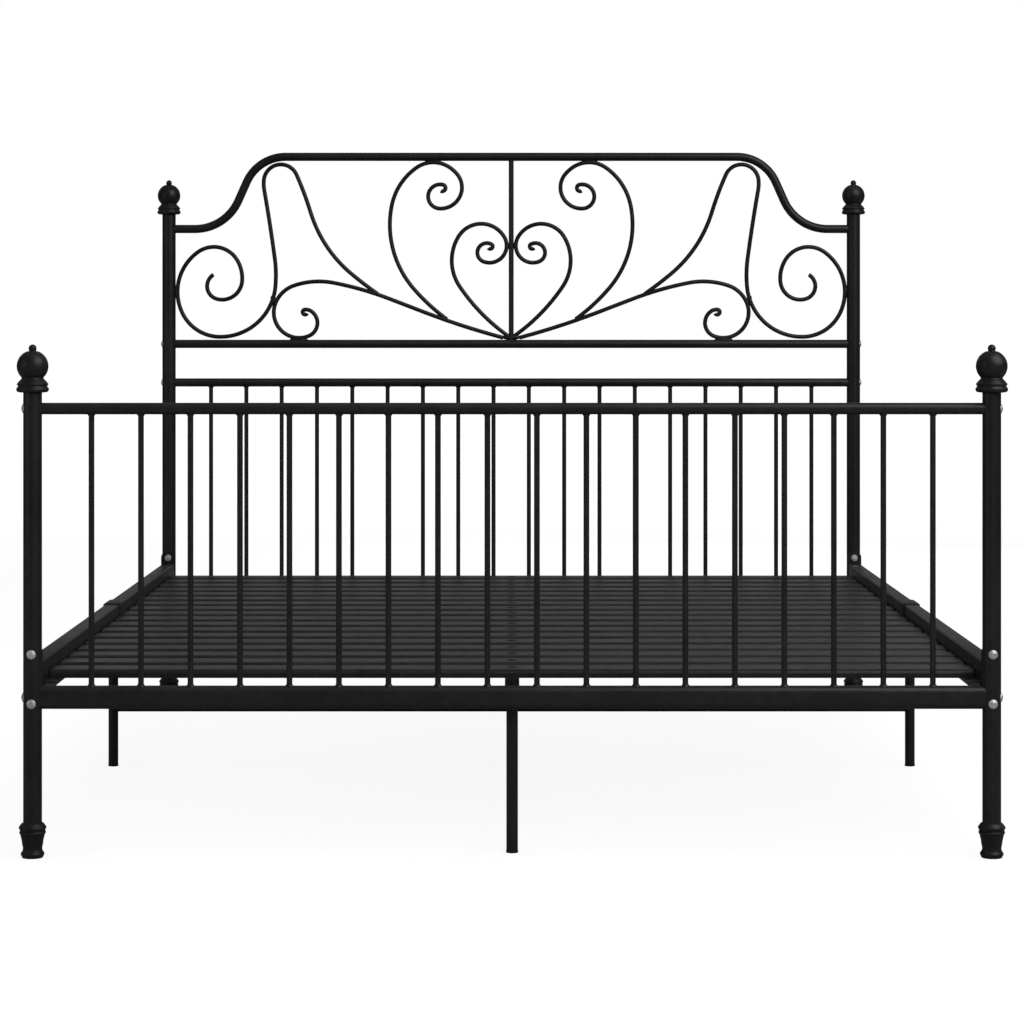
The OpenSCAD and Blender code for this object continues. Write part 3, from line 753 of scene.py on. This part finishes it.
for side in sides:
    word = sideNames[side]
    low, high = boxOf(f"side_rail_front_{word}")
    bm = bmesh.new()
    block(bm, low, high, "Y", sideRail["corner"], sideRail["cornerSteps"], sideRail["rim"])
    finishPiece(f"side_rail_front_{word}_tube", bm, powderCoat,
                [f"side_rail_front_{word}"])

    socketLow, socketHigh = boxOf(f"side_rail_rear_{word}")
    centre = (socketLow + socketHigh) / 2
    mouthEnd = high.y + sideRail["mouthReach"]
    taperEnd = mouthEnd + sideRail["taperLength"]
    bm = bmesh.new()
    block(bm, socketLow, (socketHigh.x, mouthEnd, socketHigh.z), "Y",
          sideRail["socketCorner"], sideRail["cornerSteps"])
    face = max(bm.faces, key=lambda f: f.calc_center_median().y)
    for nextY, grow in ((taperEnd, -sideRail["socketGrow"]), (socketHigh.y, 0)):
        made = bmesh.ops.extrude_face_region(bm, geom=[face])["geom"]
        if face.is_valid:
            bmesh.ops.delete(bm, geom=[face], context="FACES_ONLY")
        verts = [g for g in made if isVert(g)]
        face = [g for g in made if isFace(g)][0]
        width = socketHigh.x - socketLow.x
        height = socketHigh.z - socketLow.z
        fromMiddle = Matrix.Translation(-Vector((centre.x, 0, centre.z)))
        bmesh.ops.scale(bm, verts=verts, space=fromMiddle,
                        vec=((width + 2 * grow) / width, 1, (height + 2 * grow) / height))
        for v in verts:
            v.co.y = nextY
    mouth = min(bm.faces, key=lambda f: f.calc_center_median().y)
    bmesh.ops.bevel(bm, geom=list(mouth.edges), offset=sideRail["rim"], segments=2,
                    profile=0.5, affect="EDGES", material=-1)
    finishPiece(f"side_rail_rear_{word}_tube", bm, powderCoat,
                [f"side_rail_rear_{word}"])

plateShape = {"frontRadius": 15, "rearRadius": 17, "thick": 4, "steps": 40, "rim": 0.8}
bm = bmesh.new()
plateLow, plateHigh = boxOf("side_rail_end_plates")
plateMiddle = (plateLow.z + plateHigh.z) / 2
plateRun = (plateHigh.z - plateLow.z) / 2 - plateShape["rearRadius"]
plateEnds = ((plateLow.y, plateShape["frontRadius"]),
             (plateHigh.y - plateShape["thick"], plateShape["rearRadius"]))
for side in sides:
    for y, radius in plateEnds:
        faceCount = len(bm.faces)
        ring = bmesh.ops.create_circle(bm, cap_ends=True, segments=plateShape["steps"],
                                       radius=radius)["verts"]
        pointAlong(bm, ring, "Y", 1)
        for v in ring:
            v.co.z += plateMiddle + (plateRun if v.co.z > near else -plateRun)
            v.co.x += side * halfWidth
            v.co.y += y
        bm.faces.ensure_lookup_table()
        face = bm.faces[faceCount]
        made = bmesh.ops.extrude_face_region(bm, geom=[face])["geom"]
        bmesh.ops.translate(bm, verts=[g for g in made if isVert(g)],
                            vec=(0, plateShape["thick"], 0))
        rims = list({e for f in bm.faces[faceCount:]
                     if abs(f.normal.y) > 0.9 or len(f.verts) > 8 for e in f.edges})
        bmesh.ops.bevel(bm, geom=rims, offset=plateShape["rim"], segments=2, profile=0.5,
                        affect="EDGES", material=-1)
finishPiece("side_rail_end_plates_pressed", bm, powderCoat,
            ["side_rail_end_plates"])
print("side rails made")


# slats

slatShape = {"count": 18, "width": 74, "height": 14.6, "roll": 9, "wall": 0.9, "steps": 7}
slatLow, slatHigh = boxOf("front_slats")
rearHigh = boxOf("rear_slats")[1]
slatFirst = slatLow.y + slatShape["width"] / 2
slatStep = (rearHigh.y - slatShape["width"] / 2 - slatFirst) / (slatShape["count"] - 1)
slatYs = [slatFirst + i * slatStep for i in range(slatShape["count"])]


def addSlat(bm, y, s=slatShape):
    half, roll = s["width"] / 2, s["roll"]
    right = [(half, 0)] + arcPoints(half - roll, s["height"] - roll, roll, 0, 90, s["steps"])
    outline = right + [(-a, b) for a, b in reversed(right)]
    verts = [bm.verts.new((slatLow.x, y + a, slatLow.z + b)) for a, b in outline]
    edges = [bm.edges.new(pair) for pair in zip(verts, verts[1:])]
    made = bmesh.ops.extrude_edge_only(bm, edges=edges)["geom"]
    bmesh.ops.translate(bm, verts=[g for g in made if isVert(g)],
                        vec=(slatHigh.x - slatLow.x, 0, 0))


halfCount = slatShape["count"] // 2
for node, ys in (("front_slats", slatYs[:halfCount]), ("rear_slats", slatYs[halfCount:])):
    bm = bmesh.new()
    for y in ys:
        addSlat(bm, y)
    bmesh.ops.recalc_face_normals(bm, faces=bm.faces)
    for face in bm.faces:
        face.normal_update()
    top = max(bm.faces, key=lambda f: f.calc_center_median().z)
    if top.normal.z < 0:
        bmesh.ops.reverse_faces(bm, faces=bm.faces)
    bmesh.ops.solidify(bm, geom=bm.faces[:], thickness=slatShape["wall"])
    finishPiece(f"{node}_pressed", bm, powderCoat, [node], 50)

screwShape = {"radius": 13, "height": 2.2, "hexRadius": 2.6, "hexDepth": 1.2, "flat": 4.0,
              "steps": 30}


def domedHead(bm, s):
    # a low dome with a six-sided recess, its seat at the origin and its top along +Z
    radius, height, hexRadius = s["radius"], s["height"], s["hexRadius"]
    curve = (radius ** 2 + height ** 2) / (2 * height)
    lift = height - curve
    outline = [(0, height - s["hexDepth"]), (hexRadius, height - s["hexDepth"]),
               (hexRadius, height - 0.15), (hexRadius + 0.35, height)]
    for i in range(8):
        r = s["flat"] + (radius - 0.25 - s["flat"]) * i / 7
        outline.append((r, lift + math.sqrt(curve ** 2 - r ** 2)))
    outline += [(radius, 0.12), (radius - 0.3, -0.1), (radius - 1.2, -0.1), (0, -0.1)]
    verts = turn(bm, outline, s["steps"])
    for v in verts:
        r = math.hypot(v.co.x, v.co.y)
        if 0.5 < r < hexRadius + 0.5:
            angle = math.atan2(v.co.y, v.co.x) % (math.pi / 3) - math.pi / 6
            share = math.cos(math.pi / 6) / math.cos(angle) * 1.05
            v.co.x, v.co.y = v.co.x * share, v.co.y * share
    return verts


bm = bmesh.new()
for y in slatYs:
    verts = domedHead(bm, screwShape)
    bmesh.ops.translate(bm, verts=verts, vec=(0, y, slatHigh.z))
finishPiece("slat_screws_domed", bm, powderCoat, ["slat_screws"])
print("slats made")


# support frame

beamShape = {"corner": 2, "cornerSteps": 4, "rim": 0.5, "crossGap": 8, "stretcherGap": 7}
for node in ("centre_beam_front", "centre_beam_rear"):
    low, high = boxOf(node)
    bm = bmesh.new()
    block(bm, low, high, "Y", beamShape["corner"], beamShape["cornerSteps"], beamShape["rim"])
    finishPiece(f"{node}_tube", bm, powderCoat, [node])

low, high = boxOf("middle_cross_beam")
crossUnder = low.z
crossReach = halfWidth - beamShape["crossGap"]
bm = bmesh.new()
block(bm, (-crossReach, low.y, low.z), (crossReach, high.y, high.z), "X",
      beamShape["corner"], beamShape["cornerSteps"])
finishPiece("middle_cross_beam_tube", bm, powderCoat, ["middle_cross_beam"])

legShape = {"radius": 10, "wall": 1.2, "rim": 0.4, "ringSides": 36}
legNodes = ("middle_leg_left", "middle_leg_right", "centre_leg_front", "centre_leg_middle",
            "centre_leg_rear")
for node in legNodes:
    low, high = boxOf(node)
    bm = bmesh.new()
    tubeBetween(bm, "Z", low.z, high.z, legShape["radius"],
                ((low.x + high.x) / 2, (low.y + high.y) / 2), legShape["ringSides"],
                legShape["wall"], legShape["rim"])
    finishPiece(f"{node}_tube", bm, powderCoat, [node])

low, high = boxOf("middle_stretchers")
centre = (low + high) / 2
bm = bmesh.new()
for side in sides:
    gap = beamShape["stretcherGap"]
    ends = sorted((side * gap, side * (halfWidth - gap)))
    tubeBetween(bm, "X", ends[0], ends[1], legShape["radius"], (centre.y, centre.z),
                legShape["ringSides"])
finishPiece("middle_stretchers_tubes", bm, powderCoat, ["middle_stretchers"])

legCap = {"radius": 10.6, "height": 4, "plugRadius": 8.6, "plugTop": 18, "steps": 40}


def legCapOutline(s):
    r, top, plug, plugTop = s["radius"], s["height"], s["plugRadius"], s["plugTop"]
    return [(0, 0.5), (r - 3.4, 0.5), (r - 2.8, 0), (r - 1.2, 0), (r - 0.4, 0.4), (r, 1.2),
            (r, top - 0.6), (r - 0.6, top), (plug, top), (plug, plugTop - 2),
            (plug - 1, plugTop), (0, plugTop)]


bm = bmesh.new()
for node in legNodes:
    centre = middleOf(node)
    verts = turn(bm, legCapOutline(legCap), legCap["steps"])
    bmesh.ops.translate(bm, verts=verts, vec=(centre.x, centre.y, 0))
finishPiece("leg_end_caps_moulded", bm, capPlastic, ["leg_end_caps"])

# fillets where the legs meet the beams
legBead = {"rise": 2.2, "spread": 2.2, "sunk": 0.4, "lip": 0.8, "skirt": 0.3, "steps": 28}
crossBead = dict(legBead, rise=2.0, spread=0.0)  # the cross beam is no wider than the leg


def hangingBead(bm, place, radius, s):
    outline = filletOutline(radius, s) + [(radius - s["sunk"], -s["skirt"])]
    verts = turn(bm, outline, s["steps"])
    bmesh.ops.rotate(bm, verts=verts, cent=(0, 0, 0), matrix=Matrix.Rotation(math.pi, 3, "X"))
    bmesh.ops.translate(bm, verts=verts, vec=place)


jointBeads = bmesh.new()
beamUnder = boxOf("centre_beam_front")[0].z
for node in ("centre_leg_front", "centre_leg_rear"):
    centre = middleOf(node)
    hangingBead(jointBeads, (centre.x, centre.y, beamUnder), legShape["radius"], legBead)
centre = middleOf("centre_leg_middle")
hangingBead(jointBeads, (0, centre.y, crossUnder), legShape["radius"], crossBead)
finishPiece("leg_weld_beads", jointBeads, powderCoat, [], 60)
print("support made")


# fasteners

boltShape = {"radius": 7.8, "height": 2.4, "hexRadius": 2.6, "hexDepth": 1.3, "flat": 3.6,
             "lift": 0.6, "steps": 36}
nutShape = {"flangeRadius": 7.8, "flange": 1.2, "across": 6.5, "height": 7, "bore": 3.3,
            "tipRadius": 3.2, "tipOut": 2.4}

footBoltZs = [middleOf(n).z for n in ("footboard_lower_rail", "footboard_top_rail")]
headBoltZs = [middleOf(n).z for n in ("headboard_lower_rail", "headboard_bar_rail", "scroll_rail")]
nutLow, nutHigh = boxOf("side_rail_nuts")
sideBoltZs = [nutLow.z + nutShape["flangeRadius"], nutHigh.z - nutShape["flangeRadius"]]
washerOut = postShape["radius"] + boltShape["lift"]

boltPlaces = []  # name of the group, axis, sign, seat
for side in sides:
    for z in footBoltZs:
        boltPlaces.append(("rail_bolts", "X", side, (side * (halfWidth + washerOut), footY, z)))
    for z in headBoltZs:
        boltPlaces.append(("rail_bolts", "X", side, (side * (halfWidth + washerOut), headY, z)))
    for y, out in ((footY, -1), (headY, 1)):
        for z in sideBoltZs:
            boltPlaces.append(("side_rail_bolts", "Y", out,
                               (side * halfWidth, y + out * washerOut, z)))

for group in ("rail_bolts", "side_rail_bolts"):
    bm = bmesh.new()
    for name, axis, sign, seat in boltPlaces:
        if name != group:
            continue
        verts = domedHead(bm, boltShape)
        spinAngle = random.uniform(0, math.pi / 3)
        bmesh.ops.rotate(bm, verts=verts, cent=(0, 0, 0),
                         matrix=Matrix.Rotation(spinAngle, 3, "Z"))
        pointAlong(bm, verts, axis, sign)
        bmesh.ops.translate(bm, verts=verts, vec=seat)
    finishPiece(f"{group}_domed", bm, zincPlate, [group])

bm = bmesh.new()
for name, axis, sign, seat in boltPlaces:
    r = boltShape["radius"]
    verts = turn(bm, [(r - 1.2, -0.05), (r - 0.3, -0.05), (r, -0.35), (r, -1.2), (r - 1.2, -1.2)],
                 40, closed=True)
    # the underside is hollowed to follow the round post
    for v in verts:
        if v.co.z < -1:
            across = v.co.y
            v.co.z = math.sqrt(postShape["radius"] ** 2 - across ** 2) - washerOut - 0.2
    if axis == "Y":
        bmesh.ops.rotate(bm, verts=verts, cent=(0, 0, 0),
                         matrix=Matrix.Rotation(math.pi / 2, 3, "Z"))
    pointAlong(bm, verts, axis, sign)
    bmesh.ops.translate(bm, verts=verts, vec=seat)
finishPiece("saddle_washers_pressed", bm, zincPlate, ["saddle_washers"])


def addNut(bm, out, place, s=nutShape):
    # a six-sided nut on a round flange, with the bolt's tip in it
    bore, across, height, flange = s["bore"], s["across"], s["height"], s["flange"]
    rim = s["flangeRadius"]
    outline = [(bore, height - 0.6), (bore + 0.6, height), (across - 0.7, height),
               (across, height - 0.7), (across, flange + 0.5), (rim - 0.4, flange),
               (rim, flange - 0.4), (rim, 0), (bore, 0)]
    verts = turn(bm, outline, 36, closed=True)
    for v in verts:
        if v.co.z > flange + 0.2 and math.hypot(v.co.x, v.co.y) > bore + 1:
            angle = math.atan2(v.co.y, v.co.x) % (math.pi / 3) - math.pi / 6
            share = 1 / math.cos(angle)
            v.co.x, v.co.y = v.co.x * share, v.co.y * share
    pointAlong(bm, verts, "Y", out)
    bmesh.ops.translate(bm, verts=verts, vec=place)
    tipEnd, tipRadius = height + s["tipOut"], s["tipRadius"]
    tip = turn(bm, [(0, tipEnd), (tipRadius - 0.6, tipEnd), (tipRadius, tipEnd - 0.6),
                    (tipRadius, 1), (0, 1)], 24)
    pointAlong(bm, tip, "Y", out)
    bmesh.ops.translate(bm, verts=tip, vec=place)


bm = bmesh.new()
for side in sides:
    for y, out in ((nutLow.y, 1), (nutHigh.y, -1)):
        for z in sideBoltZs:
            addNut(bm, out, (side * halfWidth, y, z))
finishPiece("side_rail_nuts_flanged", bm, zincPlate, ["side_rail_nuts"])
print("fasteners made")


# finishes of the parts kept as they are

zincNodes = {"arch_end_pegs", "rail_end_plugs"}
for node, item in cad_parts.items():
    item.data.materials.clear()
    item.data.materials.append(zincPlate if node in zincNodes else powderCoat)


# floor and light

floorShape = {"size": 60, "colour": 0.85, "glow": 1.06, "glowShare": 0.84, "bounce": 0.14,
              "fadeStart": 3, "fadeEnd": 10}
bm = bmesh.new()
bmesh.ops.create_grid(bm, x_segments=2, y_segments=2, size=floorShape["size"])
floorMesh = bpy.data.meshes.new("floor")
bm.to_mesh(floorMesh)
bm.free()
floor = bpy.data.objects.new("floor", floorMesh)
scene.collection.objects.link(floor)
floorPaint = bpy.data.materials.new("paleFloor")
floorPaint.use_nodes = True
tree = floorPaint.node_tree
tree.nodes.clear()
matt = addNode(tree, "ShaderNodeBsdfDiffuse")
matt.inputs["Color"].default_value = grey(floorShape["colour"])
glow = addNode(tree, "ShaderNodeEmission")
glow.inputs["Strength"].default_value = floorShape["glow"]
bounce = addNode(tree, "ShaderNodeBsdfDiffuse")
bounce.inputs["Color"].default_value = grey(floorShape["bounce"])
rayKind = addNode(tree, "ShaderNodeLightPath")
bright = addNode(tree, "ShaderNodeMixShader")
away = addNode(tree, "ShaderNodeVectorMath", operation="LENGTH")
link(tree, addNode(tree, "ShaderNodeTexCoord").outputs["Object"], away.inputs[0])
link(tree, stretch(tree, away.outputs["Value"], floorShape["fadeStart"], floorShape["fadeEnd"],
                   floorShape["glowShare"], 1), bright.inputs[0])
seen = addNode(tree, "ShaderNodeMixShader")
link(tree, matt.outputs[0], bright.inputs[1])
link(tree, glow.outputs[0], bright.inputs[2])
link(tree, rayKind.outputs["Is Camera Ray"], seen.inputs[0])
link(tree, bounce.outputs[0], seen.inputs[1])
link(tree, bright.outputs[0], seen.inputs[2])
link(tree, seen.outputs[0], addNode(tree, "ShaderNodeOutputMaterial").inputs["Surface"])
floorMesh.materials.append(floorPaint)

# each range: value from, value to, result from, result to
skyLook = {
    "seen": 1.0, "height": (0.0, 0.9, 0.015, 0.07), "behind": (0.2, 0.95, 0, 0.2),
    "bandRise": (0.02, 0.1, 0, 1), "bandFall": (0.3, 0.7, 1, 0),
}
world = bpy.data.worlds.new("studio")
scene.world = world
world.use_nodes = True
tree = world.node_tree
tree.nodes.clear()
place = addNode(tree, "ShaderNodeTexCoord").outputs["Generated"]
split = addNode(tree, "ShaderNodeSeparateXYZ")
link(tree, place, split.inputs[0])
behind = stretch(tree, split.outputs["Y"], *skyLook["behind"])
lowDown = mathNode(tree, "MULTIPLY", stretch(tree, split.outputs["Z"], *skyLook["bandRise"]),
                   stretch(tree, split.outputs["Z"], *skyLook["bandFall"]))
level = stretch(tree, split.outputs["Z"], *skyLook["height"])
level = mathNode(tree, "ADD", level, mathNode(tree, "MULTIPLY", behind, lowDown))
soft = addNode(tree, "ShaderNodeBackground")
link(tree, level, soft.inputs["Strength"])
plain = addNode(tree, "ShaderNodeBackground")
plain.inputs["Strength"].default_value = skyLook["seen"]
for sky in (soft, plain):
    sky.inputs["Color"].default_value = (1, 1, 1, 1)
rayKind = addNode(tree, "ShaderNodeLightPath")
both = addNode(tree, "ShaderNodeMixShader")
link(tree, rayKind.outputs["Is Camera Ray"], both.inputs[0])
link(tree, soft.outputs[0], both.inputs[1])
link(tree, plain.outputs[0], both.inputs[2])
link(tree, both.outputs[0], addNode(tree, "ShaderNodeOutputWorld").inputs["Surface"])

# each lamp: name, place, aimed at, size, watts, seen in reflections
lampPlan = [
    ("keyLamp", (2.9, -2.9, 3.9), (0, 0, 0.6), 4.4, 120, True),
    ("frontLamp", (1.2, -5.4, 2.2), (0, 0, 0.5), 3.2, 140, False),
    ("fillLamp", (-4.2, -3.8, 2.0), (0, 0, 0.5), 3.2, 60, False),
    ("rimLamp", (-4.6, -3.2, 1.6), (0, 0, 0.6), 2.6, 10, True),
    ("topLamp", (0.3, 0.2, 4.4), (0, 0, 0), 3.2, 90, False),
    ("backLamp", (1.6, 5.4, 2.0), (0, 0, 0.5), 3.2, 110, False),
    ("leftLamp", (-5.4, 1.2, 2.0), (0, 0, 0.5), 3.2, 70, False),
    ("rightLamp", (5.4, 1.2, 2.0), (0, 0, 0.5), 3.2, 70, False),
]
for name, spot, target, size, watts, mirrored in lampPlan:
    lamp = bpy.data.lights.new(name, "AREA")
    lamp.shape = "SQUARE"
    lamp.size = size
    lamp.energy = watts
    lampObject = bpy.data.objects.new(name, lamp)
    lampObject.location = spot
    lampObject.visible_glossy = mirrored
    direction = Vector(target) - Vector(spot)
    lampObject.rotation_euler = direction.to_track_quat("-Z", "Y").to_euler()
    lampObject.visible_camera = False
    scene.collection.objects.link(lampObject)

scene.view_settings.view_transform = "Standard"
scene.view_settings.look = "None"
print("floor and light set")
